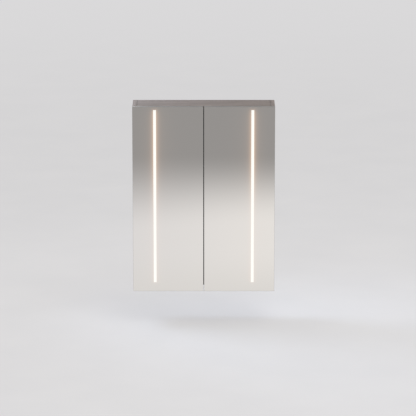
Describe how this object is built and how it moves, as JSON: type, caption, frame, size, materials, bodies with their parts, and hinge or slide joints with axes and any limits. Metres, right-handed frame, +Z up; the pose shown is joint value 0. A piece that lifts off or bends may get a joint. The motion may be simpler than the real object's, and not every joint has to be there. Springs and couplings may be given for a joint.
{
  "type": "mirror cabinet",
  "caption": "Wall-hung bathroom cabinet: mirror doors with upright light strips on concealed hinges, glass shelves and a light switch inside, hung from a steel wall rail.",
  "frame": {"origin": "on the wall, midway between the wall rail's screw holes", "axes": "+X to the right as seen from the room, +Y into the wall, +Z up; the doors face -Y"},
  "size_m": [0.6, 0.15, 0.8],
  "materials": {
    "case_board": "matt melamine with a fine woodgrain",
    "door_board": "matt melamine with a fine woodgrain",
    "back_board": "matt melamine",
    "dowel_wood": "bare",
    "mirror": "silvered, ground edges",
    "shelf_glass": "polished, ground edges",
    "opal_light": "opal, lit warm white",
    "led_board": "satin",
    "aluminium": "anodised",
    "nickel": "nickel plated",
    "zinc": "zinc plated",
    "screw_steel": "zinc plated",
    "hanger_plastic": "satin",
    "housing_plastic": "satin",
    "driver_plastic": "satin",
    "terminal_plastic": "satin",
    "switch_plastic": "gloss",
    "rubber": "matt",
    "clear_rubber": "satin"
  },
  "bodies": {
    "case": {"back_panel": "back_board", "bottom_panel": "case_board", "case_dowels": "dowel_wood", "hanger_adjusters": "screw_steel", "hanger_screws": "screw_steel", "hinge_arm_screws": "screw_steel", "hinge_plate_screws": "screw_steel", "housing_screws": "screw_steel", "led_driver": "driver_plastic", "left_hanger_body": "hanger_plastic", "left_hanger_hook": "zinc", "left_hinge_plates": "nickel", "left_lower_hinge_arm": "nickel", "left_middle_hinge_arm": "nickel", "left_side_panel": "case_board", "left_upper_hinge_arm": "nickel", "lower_shelf": "shelf_glass", "mains_grommet": "rubber", "power_housing": "housing_plastic", "right_hanger_body": "hanger_plastic", "right_hanger_hook": "zinc", "right_hinge_plates": "nickel", "right_lower_hinge_arm": "nickel", "right_middle_hinge_arm": "nickel", "right_side_panel": "case_board", "right_upper_hinge_arm": "nickel", "shelf_pegs": "nickel", "switch_body": "switch_plastic", "terminal_block": "terminal_plastic", "top_panel": "case_board", "upper_shelf": "shelf_glass", "wall_rail": "zinc"},
    "left_door": {"left_cup_screws": "screw_steel", "left_door_bumpers": "clear_rubber", "left_door_core": "door_board", "left_front_mirror": "mirror", "left_hinge_pins": "screw_steel", "left_inner_mirror": "mirror", "left_lead_grommet": "rubber", "left_led_board": "led_board", "left_light_channel": "aluminium", "left_light_diffuser": "opal_light", "left_lower_hinge_cup": "nickel", "left_middle_hinge_cup": "nickel", "left_upper_hinge_cup": "nickel"},
    "right_door": {"right_cup_screws": "screw_steel", "right_door_bumpers": "clear_rubber", "right_door_core": "door_board", "right_front_mirror": "mirror", "right_hinge_pins": "screw_steel", "right_inner_mirror": "mirror", "right_lead_grommet": "rubber", "right_led_board": "led_board", "right_light_channel": "aluminium", "right_light_diffuser": "opal_light", "right_lower_hinge_cup": "nickel", "right_middle_hinge_cup": "nickel", "right_upper_hinge_cup": "nickel"},
    "switch_rocker": {"switch_rocker": "switch_plastic"}
  },
  "joints": [
    {"name": "left_door_hinge", "type": "hinge", "parent": "case", "child": "left_door", "pos_m": [-0.292, -0.1385, -0.314], "axis": [0, 0, -1], "range_deg": [0, 105]},
    {"name": "right_door_hinge", "type": "hinge", "parent": "case", "child": "right_door", "pos_m": [0.292, -0.1385, -0.314], "axis": [0, 0, 1], "range_deg": [0, 105]},
    {"name": "switch_rock", "type": "hinge", "parent": "case", "child": "switch_rocker", "pos_m": [0.062, -0.08, 0.038], "axis": [1, 0, 0], "range_deg": [0, 20]}
  ]
}
